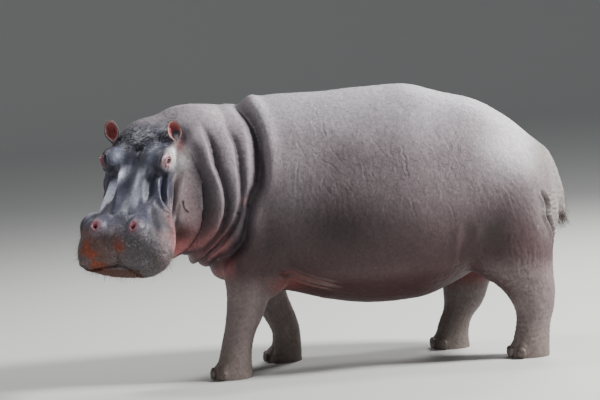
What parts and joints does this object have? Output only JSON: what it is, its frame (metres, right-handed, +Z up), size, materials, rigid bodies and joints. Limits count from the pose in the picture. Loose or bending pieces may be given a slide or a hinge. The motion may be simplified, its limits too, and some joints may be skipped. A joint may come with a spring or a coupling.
{
  "type": "hippopotamus",
  "caption": "Life-size standing hippopotamus for museum display, barrel-shaped, with its head turned to its left and its feet flat on the floor",
  "frame": {"origin": "on the floor, under the middle of the animal's bounding box", "axes": "+Z up; the trunk faces -X, its left side faces -Y, and the soles lie at Z = 0"},
  "size_m": [2.604, 1.1932, 1.4817],
  "materials": {
    "hide": "smooth bare skin, grey above and brown-pink below, finely wrinkled",
    "ear_flesh": "thin reddish skin with a pale rim",
    "nail_horn": "worn dull horn",
    "eye_wet": "wet dark brown"
  },
  "bodies": {
    "root": {"head": "hide", "neck": "hide", "trunk": "hide", "tail": "hide", "ear_left": "ear_flesh", "ear_right": "ear_flesh", "eye_left": "eye_wet", "eye_right": "eye_wet", "leg_front_left": "hide", "leg_front_right": "hide", "leg_hind_left": "hide", "leg_hind_right": "hide", "nail_front_left_1": "nail_horn", "nail_front_left_2": "nail_horn", "nail_front_left_3": "nail_horn", "nail_front_left_4": "nail_horn", "nail_front_right_1": "nail_horn", "nail_front_right_2": "nail_horn", "nail_front_right_3": "nail_horn", "nail_front_right_4": "nail_horn", "nail_hind_left_1": "nail_horn", "nail_hind_left_2": "nail_horn", "nail_hind_left_3": "nail_horn", "nail_hind_left_4": "nail_horn", "nail_hind_right_1": "nail_horn", "nail_hind_right_2": "nail_horn", "nail_hind_right_3": "nail_horn", "nail_hind_right_4": "nail_horn"}
  },
  "joints": []
}
